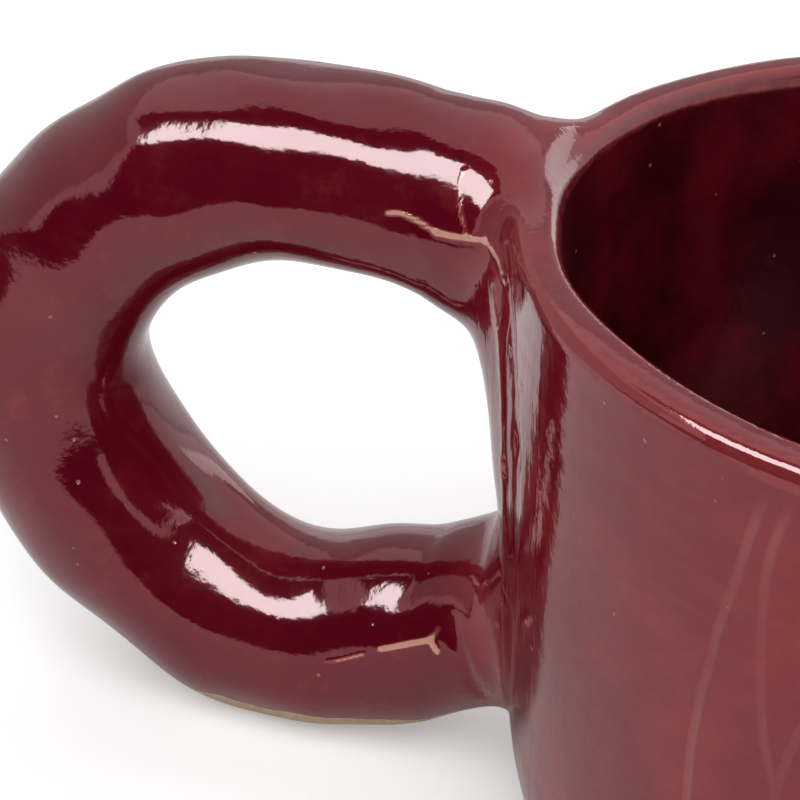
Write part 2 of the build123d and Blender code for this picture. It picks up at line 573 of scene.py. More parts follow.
    def field(self, points: np.ndarray, cup: CupForm, hint: np.ndarray) -> np.ndarray:
        """Distance to the coil and its collars, outside the middle of the wall.

        Args:
            points: Places in mm, on the loop's side.
            cup: The cup that the loop is luted to.
            hint: A mark on the centre line near each point.

        Returns:
            Distances in mm.
        """
        left = self.on_left(points)
        mark, gap = self.line.nearest(left, hint)
        coil = gap - self.radius(mark)
        for form in (self.upper_collar, self.lower_collar):
            coil = smooth_union(coil, self.collar_field(form, left), self.collar_fillet)
        coil = smooth_union(coil, self.strip_field(left), self.strip_fillet)
        free = ramp(2.0, 12.0, -RIM_RADIUS - left[:, 0])
        coil = coil - (self.swells.at(points) * (0.25 + 0.75 * free) + self.presses.at(points))
        along, across = (left[:, 0] - self.web_middle) / self.web_length, left[:, 1] / self.web_width
        web = np.exp(-(along**2) - across**4)
        coil = coil - self.web_lift * web * ramp(60.0, 68.0, left[:, 2])
        coil = smooth_cut(coil, -points[:, 2], 1.2)
        inside = cup.middle_radius(cup.lowered(points)) - np.hypot(points[:, 0], points[:, 1])
        return smooth_cut(coil, inside, 3.0)

    def raw(self, bm: bmesh.types.BMesh) -> None:
        """Extrudes the coil, its collars and the strip between them ring by ring into the bmesh, in mm.

        Args:
            bm: The bmesh that takes them.
        """
        stations = []
        for share in np.linspace(0.06, 0.95, 44):
            mark = np.array([share * self.line.length])
            spot, way = Vector(self.line.at(mark)[0]), Vector(self.line.at(mark, 1)[0])
            size = float(self.radius(mark)[0])
            stations.append(Matrix.LocRotScale(spot, way.to_track_quat("Z", "Y"), (size, size, 1.0)))
        self.sweep(bm, stations)
        for form in (self.upper_collar, self.lower_collar):
            stations = []
            for share in (1.0, 0.64, 0.36, 0.15, 0.0, -0.3):
                x = np.array([-RIM_RADIUS - form.reach * share])
                centre, radius, slant = (float(value[0]) for value in self.root(x, form.upper))
                side, upright = self.flare(np.array([share]))
                wide = radius + form.edge + form.spread * side[0]
                stretch = upright[0] / 2
                tall = (radius + form.edge) * slant + (form.rise + form.drop) * stretch
                lift = (form.rise - form.drop) * stretch
                spot, turn = Vector((float(x[0]), 0.0, centre + lift)), Vector((1, 0, 0)).to_track_quat("Z", "Y")
                stations.append(Matrix.LocRotScale(spot, turn, (tall, wide, 1.0)))
            self.sweep(bm, stations)
        heights = (24.0, 34.0, 46.0, 56.0)
        strip = (self.strip_low, 9.0, 1.0)
        self.sweep(bm, [Matrix.LocRotScale(Vector((-44.5, 0.0, height)), None, strip) for height in heights])

    def sweep(self, bm: bmesh.types.BMesh, stations: list[Matrix]) -> None:
        """Draws one closed tube through rings at the stations and trims it at the middle of the wall.

        Args:
            bm: The bmesh that takes the tube.
            stations: Where each ring of radius 1 goes, for the left side.
        """
        tube = bmesh.new()
        ring = bmesh.ops.create_circle(tube, cap_ends=True, segments=40, radius=1.0, matrix=stations[0])["verts"]
        edges = list({edge for vert in ring for edge in vert.link_edges})
        for before, after in zip(stations, stations[1:]):
            grown = bmesh.ops.extrude_edge_only(tube, edges=edges)["geom"]
            verts = [item for item in grown if isinstance(item, bmesh.types.BMVert)]
            edges = [item for item in grown if isinstance(item, bmesh.types.BMEdge)]
            bmesh.ops.transform(tube, matrix=after @ before.inverted(), verts=verts)
        bmesh.ops.holes_fill(tube, edges=[edge for edge in tube.edges if edge.is_boundary])
        trimmed = bmesh.ops.bisect_plane(
            tube,
            geom=[*tube.verts, *tube.edges, *tube.faces],
            plane_co=(self.trim_plane, 0, 0),
            plane_no=(1, 0, 0),
            clear_outer=True,
        )
        bmesh.ops.holes_fill(tube, edges=[item for item in trimmed["geom_cut"] if isinstance(item, bmesh.types.BMEdge)])
        if self.side is Side.RIGHT:
            bmesh.ops.scale(tube, vec=(-1, 1, 1), verts=tube.verts)
        bmesh.ops.recalc_face_normals(tube, faces=tube.faces)
        held = mesh_of(tube, "tube")
        bm.from_mesh(held)
        bpy.data.meshes.remove(held)


@dataclass
class Clay:
    """The luted body as one field: the wall with its ripples, and the two loops melted onto it."""

    cup: CupForm
    loops: tuple[LoopForm, LoopForm]
    fillet: float = 4.4
    wipe_height: float = 0.010
    under_wall: float = 44.0
    box_trims: tuple[tuple[float, float], ...] = ((111.6, 2.0), (45.74, 0.4), (76.4, 1.0))

    def __post_init__(self) -> None:
        """Sets the wall's soft unevenness."""
        self.dents = Lumps(5, 38.0, 0.16)
        self.wipes = Lumps(6, 15.0, 0.05)

    def hints(self, points: np.ndarray) -> list[tuple[np.ndarray, np.ndarray]]:
        """What each loop needs to know of where the points are."""
        return [loop.hints(points) for loop in self.loops]

    def field(self, points: np.ndarray, hints: list[tuple[np.ndarray, np.ndarray]]) -> np.ndarray:
        """Distance to the whole body.

        Args:
            points: Places in mm.
            hints: From the method of that name, for points at most a few mm away.

        Returns:
            Distances in mm, negative in the clay.
        """
        wall = self.cup.wall_field(points)
        z = self.cup.lowered(points)
        wipe = ramp(50.0, 56.0, z) * (1.0 - ramp(64.0, 67.0, z)) * self.wipe_height
        wall = wall - self.dents.at(points) - self.wipes.at(points)
        wall = wall - wipe * np.sin(z * 2.0 + 0.5 * np.sin(points[:, 0] * 0.11) + points[:, 1] * 0.03)
        body = wall
        for loop, (near, hint) in zip(self.loops, hints):
            if near.any():
                spots = points[near]
                joined = smooth_union(body[near], loop.field(spots, self.cup, hint), self.fillet)
                body[near] = joined - sum(seam.height * seam.strength(loop.on_left(spots)) for seam in loop.seams)
        low = np.hypot(points[:, 0], points[:, 1]) < self.under_wall
        body[low] = np.maximum(body[low], self.cup.wall_bottom - points[low, 2])
        for axis, (half, reach) in enumerate(self.box_trims):
            body = smooth_cut(body, np.abs(points[:, axis]) - half, reach)
        return body

    def slope(self, points: np.ndarray, hints: list[tuple[np.ndarray, np.ndarray]]) -> tuple[np.ndarray, np.ndarray]:
        """The field and the direction in which it grows, from four places round each point.

        Args:
            points: Places in mm.
            hints: From the method of that name.

        Returns:
            Distances, and one row of directions for each point.
        """
        step = 0.03
        values = [self.field(points + step * corner, hints) for corner in self.corners]
        return sum(values) / 4, sum(value[:, None] * corner for value, corner in zip(values, self.corners)) / (4 * step)

    corners = np.array([(1.0, 1.0, 1.0), (1.0, -1.0, -1.0), (-1.0, 1.0, -1.0), (-1.0, -1.0, 1.0)])

    def settle(self, points: np.ndarray, rounds: int = 3) -> np.ndarray:
        """Lays points on the surface of the clay.

        Args:
            points: Places near the surface, in mm.
            rounds: Steps taken towards it.

        Returns:
            The places on the surface.
        """
        points = points.copy()
        hints = self.hints(points)
        for _ in range(rounds):
            value, way = self.slope(points, hints)
            steep = np.maximum((way**2).sum(1), 0.25)
            points += np.clip(-(value / steep)[:, None] * way, -1.2, 1.2)
        return points

    def sharpness(self, points: np.ndarray, step: float = 0.45) -> np.ndarray:
        """How convex the surface is at points on it, as the sum of its two bends in 1/mm."""
        hints = self.hints(points)
        return sum(self.field(points + step * corner, hints) for corner in self.corners) / (2 * step**2)

    def paleness(self, points: np.ndarray) -> np.ndarray:
        """How far the glaze is thinned along the seams, plus a pale strip under the lip on the front side.

        Args:
            points: Places on the clay in mm.

        Returns:
            One amount for each, on the scale of sharpness.
        """
        shown = np.zeros(len(points))
        for loop in self.loops:
            near = loop.near(points)
            for seam in loop.seams:
                shown[near] += seam.pale * seam.strength(loop.on_left(points[near]))
        # A pale band under the lip, on the front side only, added to the same value
        front = ramp(-22.0, -4.0, points[:, 0]) * ramp(30.0, 40.0, -points[:, 1])
        strip = np.exp(-(((self.cup.lowered(points) - 67.7) / 0.5) ** 2))
        broken = 0.75 + 0.5 * self.wipes.at(points) / self.wipes.height
        return shown + 1.2 * front * np.clip(strip * broken, 0.0, 1.0)

    def smears(self, points: np.ndarray) -> np.ndarray:
        """Where the luted clay was smoothed onto the wall by upright strokes.

        Args:
            points: Places on the clay in mm.

        Returns:
            One share for each, 1 where the strokes are plainest.
        """
        x, y, z = np.abs(points).T
        proud = self.cup.proud(points)
        beside = np.maximum(ramp(9.5, 14.0, y) * (1.0 - ramp(17.0, 22.0, y)), 1.0 - ramp(2.0, 5.0, proud))
        return beside * ramp(-0.6, 0.1, proud) * (x > 36.0) * (1.0 - ramp(62.0, 68.0, z))


def places(mesh: bpy.types.Mesh) -> np.ndarray:
    """The mesh's vertices in mm, one row each.

    Args:
        mesh: A mesh in metres.

    Returns:
        The places of its vertices.
    """
    flat = np.empty(len(mesh.vertices) * 3, np.float32)
    mesh.vertices.foreach_get("co", flat)
    return flat.reshape(-1, 3).astype(float) / MM


def place(mesh: bpy.types.Mesh, points: np.ndarray) -> None:
    """Moves the mesh's vertices to these places in mm."""
    mesh.vertices.foreach_set("co", (points * MM).astype(np.float32).ravel())
    mesh.update()


def mark(mesh: bpy.types.Mesh, name: str, values: np.ndarray) -> None:
    """Keeps one value for each vertex as a named attribute that the glaze reads."""
    mesh.attributes.new(name, "FLOAT", "POINT").data.foreach_set("value", values.astype(np.float32))


def finished(
    name: str, mesh: bpy.types.Mesh, normals: np.ndarray | None, material: bpy.types.Material
) -> bpy.types.Object:
    """Makes an object at the origin from a shaped mesh, smooth-shaded with the clay's own normals or up to its corners.

    Args:
        name: The piece's name.
        mesh: Its mesh, in metres.
        normals: The surface's direction at each vertex, or None for a plain turned form.
        material: Its finish.

    Returns:
        The object, linked to the scene.
    """
    mesh.name = name
    mesh.materials.clear()
    mesh.materials.append(material)
    mesh.shade_smooth()
    if normals is None:
        mesh.set_sharp_from_angle(angle=math.radians(40.0))
    else:
        lengths = np.maximum(np.linalg.norm(normals, axis=1), 1e-9)[:, None]
        mesh.normals_split_custom_set_from_vertices((normals / lengths).tolist())
    log.info("%s: %d faces", name, len(mesh.polygons))
    return linked(name, mesh)


@dataclass
class LutedBody:
    """Wall, coils and collars: merged, laid on the clay's surface, and parted into their own closed pieces."""

    clay: Clay
    first_voxel: float = 1.2
    fine_to: float = 69.0
    cap_depth: float = 1.4
    voxel: float = 0.70

    def merged(self) -> bpy.types.Mesh:
        """The raw forms merged into one even skin, in metres.

        Returns:
            The skin, laid on the surface of the clay.
        """
        bm = bmesh.new()
        self.clay.cup.raw(bm)
        for loop in self.clay.loops:
            loop.raw(bm)
        bmesh.ops.scale(bm, vec=(MM, MM, MM), verts=bm.verts)
        skin = mesh_of(bm, "raw_body")
        for voxel, rounds in ((self.first_voxel, 4), (self.voxel, 3)):
            raw = linked("raw_body", skin)
            merge = raw.modifiers.new("merge", "REMESH")
            merge.mode = "VOXEL"
            merge.voxel_size = voxel * MM
            relax = raw.modifiers.new("relax", "SMOOTH")
            relax.factor = 0.5
            relax.iterations = 8
            merged = bpy.data.meshes.new_from_object(raw.evaluated_get(bpy.context.evaluated_depsgraph_get()))
            bpy.data.objects.remove(raw)
            bpy.data.meshes.remove(skin)
            skin = merged
            place(skin, self.clay.settle(places(skin), rounds))
            log.info("merged skin: %d vertices", len(skin.vertices))
        return skin

    def owners(self, centres: np.ndarray) -> np.ndarray:
        """The CAD node that each face belongs to, by where the face is.

        Args:
            centres: Middle of each face, in mm.

        Returns:
            An index into node_names.
        """
        x, z = centres[:, 0], centres[:, 2]
        parting = (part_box("upper_collar_left")[0].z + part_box("lower_collar_left")[1].z) / 2 / MM
        luted = (self.clay.cup.proud(centres) > 0.9) & (np.abs(x) > 38.0)
        kind = np.where(np.abs(x) - RIM_RADIUS > COLLAR_REACH, 0, np.where(z > parting, 1, 2))
        return np.where(luted, 1 + kind + np.where(x > 0, 3, 0), 0)

    node_names = (
        "cup_wall",
        "handle_coil_left",
        "upper_collar_left",
        "lower_collar_left",
        "handle_coil_right",
        "upper_collar_right",
        "lower_collar_right",
    )

    def parts(self, material: bpy.types.Material) -> dict[str, bpy.types.Object]:
        """Builds every luted piece.

        Args:
            material: The glaze.

        Returns:
            The pieces by the name of their CAD node.
        """
        skin = self.merged()
        centres = np.empty(len(skin.polygons) * 3, np.float32)
        skin.polygons.foreach_get("center", centres)
        owner = self.owners(centres.reshape(-1, 3).astype(float) / MM)
        made = {}
        for index, node in enumerate(self.node_names):
            made[node] = self.part(skin, owner == index, node, index > 0, material)
        bpy.data.meshes.remove(skin)
        return made

    def part(
        self, skin: bpy.types.Mesh, mine: np.ndarray, node: str, finer: bool, material: bpy.types.Material
    ) -> bpy.types.Object:
        """Cuts one piece out of the skin and closes it.

        Args:
            skin: The whole merged skin.
            mine: Which of its faces belong to the piece.
            node: Name of the CAD node that it dresses.
            finer: Whether its faces are divided once more.
            material: The glaze.

        Returns:
            The finished piece.
        """
        bm = bmesh.new()
        bm.from_mesh(skin)
        bm.faces.ensure_lookup_table()
        others = [face for face, own in zip(bm.faces, mine) if not own]
        bmesh.ops.delete(bm, geom=others, context="FACES")
        if finer:
            edges = [edge for edge in bm.edges if max(abs(vert.co.x) for vert in edge.verts) < self.fine_to * MM]
            bmesh.ops.subdivide_edges(bm, edges=edges, cuts=1, use_grid_fill=True)
        mesh = mesh_of(bm, node)
        if finer:
            place(mesh, self.clay.settle(places(mesh), 2))
        bm = bmesh.new()
        bm.from_mesh(mesh)
        bm.normal_update()
        inward = {vert.co.copy().freeze(): -self.cap_depth * MM * vert.normal for vert in bm.verts if vert.is_boundary}
        grown = bmesh.ops.extrude_edge_only(bm, edges=[edge for edge in bm.edges if edge.is_boundary])["geom"]
        for vert in grown:
            if isinstance(vert, bmesh.types.BMVert):
                vert.co += inward[vert.co.copy().freeze()]
        bmesh.ops.holes_fill(bm, edges=[edge for edge in bm.edges if edge.is_boundary])
        bmesh.ops.recalc_face_normals(bm, faces=bm.faces)
        bm.to_mesh(mesh)
        bm.free()
        points = places(mesh)
        normals = self.clay.slope(points, self.clay.hints(points))[1]
        mark(mesh, "glaze_thin", self.clay.sharpness(points) + self.clay.paleness(points))
        mark(mesh, "smear", self.clay.smears(points))
        return finished("dressed_" + node, mesh, normals, material)


@dataclass
class FloorAndCove:
    """The floor slab with its shallow hollow underneath, and the cove that the seam coil makes inside."""

    cup: CupForm
    cove_top: float = 15.0
    cove_width: float = 9.0
    recess: float = 1.0
    ring_inside: float = 30.0

    def outside(self, height: float) -> float:
        """Radius of the rounded lower wall's outside at a height, in mm."""
        return float(self.cup.middle_arc(np.array([height]), self.cup.half_wall)[0])

    def inside(self, height: float) -> float:
        """Radius of the rounded lower wall's inside at a height, in mm."""
        return float(self.cup.middle_arc(np.array([height]), -self.cup.half_wall)[0])

    def spun(self, outline: list[tuple[float, float]], node: str, material: bpy.types.Material) -> bpy.types.Object:
        """Spins a closed outline.

        Args:
            outline: Radii and heights in mm.
            node: Name of the CAD node that it dresses.
            material: Its finish.

        Returns:
            The finished piece.
        """
        bm = bmesh.new()
        spin_outline(bm, outline, steps=192)
        bmesh.ops.scale(bm, vec=(MM, MM, MM), verts=bm.verts)
        mesh = mesh_of(bm, node)
        for name in ("glaze_thin", "smear"):
            mark(mesh, name, np.zeros(len(mesh.vertices)))
        return finished("dressed_" + node, mesh, None, material)

    def parts(self, material: bpy.types.Material) -> dict[str, bpy.types.Object]:
        """Builds the slab and the cove.

        Args:
            material: The glaze, which gives way to bare clay underneath.

        Returns:
            The pieces by the name of their CAD node.
        """
        floor, outer, ring = self.cup.wall_bottom, self.outside(0.0), self.ring_inside
        slab = [(radius, floor) for radius in (0.0, 10.0, 20.0, 28.0, 34.0)]
        slab += [(self.outside(height), height) for height in (6.0, 4.5, 3.0, 1.8)]
        slab += [(outer + 0.45, 0.8), (outer + 0.05, 0.3), (outer - 0.6, 0.0), (ring + 0.8, 0.0), (ring + 0.1, 0.35)]
        slab += [(ring - 0.5, self.recess), (15.0, self.recess), (0.0, self.recess)]
        start = self.inside(floor) - self.cove_width
        rise, run = self.cove_top - floor, self.inside(self.cove_top) - start
        turn = (run**2 + rise**2) / (2 * rise)
        angles = np.linspace(0.0, 1.0, 14) * math.asin(min(run / turn, 1.0))
        cove = [(start + turn * math.sin(angle), floor + turn * (1.0 - math.cos(angle))) for angle in angles]
        cove += [(self.inside(height), height) for height in (13.0, 11.0, 9.0, 7.5, 6.0)]
        return {
            "floor_slab": self.spun(slab, "floor_slab", material),
            "seam_coil": self.spun(cove, "seam_coil", material),
        }


class NodeBench:
    """Short hand for laying out the nodes of a material or of the world."""

    def __init__(self, owner: bpy.types.Material | bpy.types.World, end: str = "ShaderNodeOutputMaterial") -> None:
        """Empties the owner's nodes and adds its output of this kind.

        Args:
            owner: The material or world.
            end: Blender's name of the output node.
        """
        owner.use_nodes = True
        self.tree = owner.node_tree
        self.tree.nodes.clear()
        self.end = self.tree.nodes.new(end)

    def add(self, kind: str, settings: dict | None = None, **sockets: object) -> bpy.types.Node:
        """Adds a node.

        Args:
            kind: Blender's name of the node.
            settings: Properties to set on it.
            sockets: Inputs by name with underscores for spaces: a value, or a socket to link.

        Returns:
            The node.
        """
        node = self.tree.nodes.new(kind)
        for key, value in (settings or {}).items():
            setattr(node, key, value)
        for key, value in sockets.items():
            numbered = key[0] == "n" and key[1:].isdigit()
            self.feed(node.inputs[int(key[1:])] if numbered else node.inputs[key.replace("_", " ")], value)
        return node

    def feed(self, socket: Socket, value: object) -> None:
        """Links a socket to an input, or sets the input to a value.

        Args:
            socket: The input.
            value: A socket, or a plain value.
        """
        if isinstance(value, Socket):
            self.tree.links.new(value, socket)
        else:
            socket.default_value = value

    def math(self, operation: str, *values: object) -> Socket:
        """Adds a Math node on these values or sockets and returns its result."""
        sockets = {f"n{i}": value for i, value in enumerate(values)}
        return self.add("ShaderNodeMath", {"operation": operation}, **sockets).outputs[0]

    def plus(self, one: object, other: object) -> Socket:
        """The sum of two values or sockets."""
        return self.math("ADD", one, other)

    def less(self, one: object, other: object) -> Socket:
        """The first value or socket less the second."""
        return self.math("SUBTRACT", one, other)

    def times(self, *values: object) -> Socket:
        """The product of two or more values or sockets."""
        product = self.math("MULTIPLY", *values[:2])
        return self.times(product, *values[2:]) if len(values) > 2 else product

    def scaled(self, place_socket: Socket, factors: tuple[float, float, float]) -> Socket:
        """The coordinates times a factor for each axis."""
        return self.add("ShaderNodeVectorMath", {"operation": "MULTIPLY"}, n0=place_socket, n1=factors).outputs[0]

    def spread(self, value: Socket, low: float, high: float, to: tuple[float, float] = (0.0, 1.0)) -> Socket:
        """Smoothly maps a value between two bounds.

        Args:
            value: The socket to map.
            low: Where the result starts.
            high: Where the result ends.
            to: The results there.

        Returns:
            The mapped socket.
        """
        bounds = dict(zip(("From_Min", "From_Max", "To_Min", "To_Max"), (low, high, *to)))
        return self.add("ShaderNodeMapRange", {"interpolation_type": "SMOOTHSTEP"}, Value=value, **bounds).outputs[0]

    def blend(self, share: object, one: object, other: object) -> Socket:
        """Mixes two colours by a share."""
        return self.add("ShaderNodeMix", {"data_type": "RGBA"}, n0=share, n6=one, n7=other).outputs[2]

    def noise(self, place_socket: Socket, scale: float, detail: float = 3.0, rough: float = 0.5) -> Socket:
        """Adds a noise of this many features per metre and returns its value."""
        settings = {"Scale": scale, "Detail": detail, "Roughness": rough}
        return self.add("ShaderNodeTexNoise", None, Vector=place_socket, **settings).outputs[0]


@dataclass(frozen=True)
class OxbloodGlaze:
    """Deep copper-red glaze with a high gloss. It runs thin and pale over edges and stops short of the table."""

    deep: tuple[float, float, float, float] = (0.128, 0.0030, 0.010, 1.0)
    warm: tuple[float, float, float, float] = (0.200, 0.013, 0.019, 1.0)
    thick: tuple[float, float, float, float] = (0.078, 0.0010, 0.007, 1.0)
    # Near black-red for the bowl's inside: partly glaze pooled there, partly painted shade where the walls keep the
    # light out
    pooled_glaze_and_shade: tuple[float, float, float, float] = (0.030, 0.0004, 0.002, 1.0)
    brick: tuple[float, float, float, float] = (0.190, 0.022, 0.024, 1.0)
    broken: tuple[float, float, float, float] = (0.560, 0.300, 0.230, 1.0)
    worn: tuple[float, float, float, float] = (0.330, 0.110, 0.100, 1.0)
    clay: tuple[float, float, float, float] = (0.520, 0.400, 0.270, 1.0)
    roughness: float = 0.085
    inside_roughness: float = 0.16
    bare_roughness: float = 0.75
    bare_to: float = 0.0024
    handle_bare_to: float = 0.0046
    handle_rest: float = 0.066
    peel_depth: float = 0.000018
    pit_depth: float = -0.00004
    run_depth: float = 0.00007
    line_depth: float = -0.00010
    stroke_depth: float = 0.00005
    grain_depth: float = 0.0002
    leaves: tuple[tuple[float, float, float, float], ...] = (
        (32.0, 18.0, 62.0, 70.0),
        (56.0, 12.6, 22.9, 40.6),
        (25.0, 11.0, 38.5, 38.5),
    )

    def material(self) -> bpy.types.Material:
        """Lays out the glaze.

        Returns:
            The material.
        """
        glaze = bpy.data.materials.new("oxblood_glaze")
        bench = NodeBench(glaze)
        where = bench.add("ShaderNodeTexCoord").outputs["Object"]
        sideways, _, height = bench.add("ShaderNodeSeparateXYZ", None, Vector=where).outputs
        sideways = bench.math("ABSOLUTE", sideways)
        flat = bench.scaled(where, (1.0, 1.0, 0.0))
        reach = bench.add("ShaderNodeVectorMath", {"operation": "LENGTH"}, n0=flat).outputs["Value"]
        inside = bench.times(bench.spread(reach, 0.0408, 0.0420, (1.0, 0.0)), bench.spread(height, 0.0035, 0.0045))
        line = self.carved_lines(bench, where, reach)
        grain = bench.noise(where, 1500.0, 4.0, 0.7)
        pit = self.pits(bench, where)
        bare = self.bare_clay(bench, where, sideways, height)

        # Colour: the plain glaze, then where it is thick, veiled, pooled and shaded inside the bowl (partly painted
        # shade), thin over edges, pitted, wiped off or carved
        clouds = bench.noise(where, 70.0, 4.0, 0.6)
        colour = bench.blend(bench.spread(clouds, 0.42, 0.68), self.deep, self.warm)
        streaks = bench.noise(bench.scaled(where, (1.0, 1.0, 5.0)), 130.0, 4.0, 0.65)
        colour = bench.blend(bench.times(bench.spread(streaks, 0.45, 0.75), 0.30), colour, self.brick)
        colour = bench.blend(bench.times(bench.spread(reach, 0.0470, 0.0530), 0.7), colour, self.thick)
        veil = bench.noise(where, 170.0, 5.0, 0.68)
        colour = bench.blend(bench.times(bench.spread(veil, 0.52, 0.74), 0.45), colour, self.brick)
        # Inside the bowl the colour goes much darker: partly pooled glaze, partly painted shade from the surrounding
        # walls
        inside_pool_and_shade = bench.blend(bench.spread(clouds, 0.40, 0.75), self.pooled_glaze_and_shade, self.deep)
        colour = bench.blend(inside, colour, inside_pool_and_shade)
        mottle = bench.less(bench.noise(where, 420.0, 3.0, 0.6), 0.5)
        sharp = bench.add("ShaderNodeAttribute", {"attribute_name": "glaze_thin"}).outputs["Fac"]
        ragged = bench.plus(sharp, bench.times(mottle, 0.55))
        colour = bench.blend(bench.spread(ragged, 0.34, 0.62), colour, self.brick)
        colour = bench.blend(bench.spread(ragged, 0.80, 1.40), colour, self.broken)
        colour = bench.blend(bench.times(pit, 0.40), colour, self.broken)
        damp = (*(0.72 * part for part in self.clay[:3]), 1.0)
        colour = bench.blend(bare, colour, bench.blend(bench.spread(grain, 0.3, 0.7), self.clay, damp))
        colour = bench.blend(bench.times(line, 0.28), colour, self.worn)

        rough = bench.plus(bench.times(bare, self.bare_roughness), self.roughness)
        rough = bench.plus(bench.times(inside, self.inside_roughness), rough)

        # Relief, in metres
        strokes = bench.noise(bench.scaled(where, (1.0, 1.0, 0.10)), 1000.0, 1.5, 0.5)
        smear = bench.add("ShaderNodeAttribute", {"attribute_name": "smear"}).outputs["Fac"]
        relief = bench.times(bench.noise(where, 900.0, 3.0, 0.6), self.peel_depth)
        for form, depth in (
            (pit, self.pit_depth),
            (bench.noise(where, 240.0, 3.0, 0.55), self.run_depth),
            (line, self.line_depth),
            (bench.times(strokes, smear), self.stroke_depth),
            (bench.times(grain, bare), self.grain_depth),
        ):
            relief = bench.plus(relief, bench.times(form, depth))
        bump = bench.add("ShaderNodeBump", None, Height=relief, Distance=1.0, Strength=1.0).outputs[0]
        shader = bench.add("ShaderNodeBsdfPrincipled", None, Base_Color=colour, Roughness=rough, Normal=bump)
        shader.inputs["IOR"].default_value = 1.6
        shader.inputs["Specular IOR Level"].default_value = 0.9
        shader.inputs["Specular Tint"].default_value = (1.0, 0.44, 0.45, 1.0)
        bench.feed(bench.end.inputs["Surface"], shader.outputs[0])
        return glaze

    def pits(self, bench: NodeBench, where: Socket) -> Socket:
        """A socket that is 1 in the glaze's few pale pinholes: a fifth of the cells of a cell pattern.

        Args:
            bench: The material being laid out.
            where: Object coordinates.

        Returns:
            The socket.
        """
        cells = bench.add("ShaderNodeTexVoronoi", {"feature": "F1"}, Vector=where, Scale=330.0).outputs
        chosen = bench.add("ShaderNodeTexWhiteNoise", {"noise_dimensions": "3D"}, Vector=cells["Position"]).outputs[0]
        spot = bench.spread(cells["Distance"], 0.05, 0.09, (1.0, 0.0))
        return bench.times(spot, bench.math("GREATER_THAN", chosen, 0.80))

    def bare_clay(self, bench: NodeBench, where: Socket, sideways: Socket, height: Socket) -> Socket:
        """Where the glaze was wiped off, at the foot and higher under the handles.

        Args:
            bench: The material being laid out.
            where: Object coordinates.
            sideways: Distance from the cup's middle along X.
            height: Height above the table.

        Returns:
            A socket that is 1 on bare clay and 0 on glaze.
        """
        wobble = bench.less(bench.noise(where, 150.0, 2.0), 0.5)
        edge = bench.plus(height, bench.times(wobble, -0.0026))
        off_middle = bench.math("MINIMUM", bench.less(sideways, self.handle_rest), 0.0)
        wiped = bench.plus(bench.times(off_middle, off_middle, 12.0), self.handle_bare_to)
        wiped = bench.times(wiped, bench.spread(sideways, 0.0480, 0.0484))
        lower_outside = bench.spread(sideways, 0.076, 0.088, (0.0, 0.0025))
        limit = bench.math("MAXIMUM", bench.less(wiped, lower_outside), self.bare_to)
        return bench.spread(bench.less(edge, limit), -0.0001, 0.0001, (1.0, 0.0))

    def carved_lines(self, bench: NodeBench, where: Socket, reach: Socket) -> Socket:
        """Tall leaves carved one over the other, at the middle of the wall's front and back.

        Args:
            bench: The material being laid out.
            where: Object coordinates.
            reach: Distance from the cup's axis.

        Returns:
            A socket that is 1 in the carved lines and 0 elsewhere.
        """
        x, y, height = bench.add("ShaderNodeSeparateXYZ", None, Vector=where).outputs
        depth = bench.math("ABSOLUTE", y)
        unsteady = bench.noise(where, 60.0, 2.0)
        wobble = bench.times(bench.less(unsteady, 0.5), 1.4)
        aside = bench.math("ABSOLUTE", bench.plus(bench.times(bench.math("ARCTAN2", x, depth), 44.8), wobble))
        up = bench.times(height, 1000.0)
        nearest = None
        for widest, wide, over, under in self.leaves:
            climb = bench.less(up, widest)
            above = bench.math("POWER", bench.math("DIVIDE", bench.math("MAXIMUM", climb, 0.0), over), 2.0)
            below = bench.math("POWER", bench.math("DIVIDE", bench.math("MINIMUM", climb, 0.0), under), 2.0)
            curve = bench.times(bench.less(1.0, bench.plus(above, below)), wide)
            gap = bench.math("ABSOLUTE", bench.less(aside, curve))
            nearest = gap if nearest is None else bench.math("MINIMUM", nearest, gap)
        return bench.times(
            bench.spread(nearest, 0.15, 0.65, (1.0, 0.0)),
            bench.spread(up, 9.0, 15.0),
            bench.spread(up, 62.0, 66.5, (1.0, 0.0)),
            bench.spread(reach, 0.0412, 0.0424),
            bench.spread(reach, 0.0462, 0.0468, (1.0, 0.0)),
            bench.spread(unsteady, 0.25, 0.55, (0.45, 1.0)),
            bench.spread(depth, 0.024, 0.031),
        )


@dataclass(frozen=True)
class Card:
    """A glowing panel that faces the cup from a direction and distance, seen in reflections alone."""

    name: str
    azimuth: float
    elevation: float
    away: float
    wide: float
    high: float
    glow: float
    hue: tuple[float, float, float] = (1.0, 1.0, 1.0)


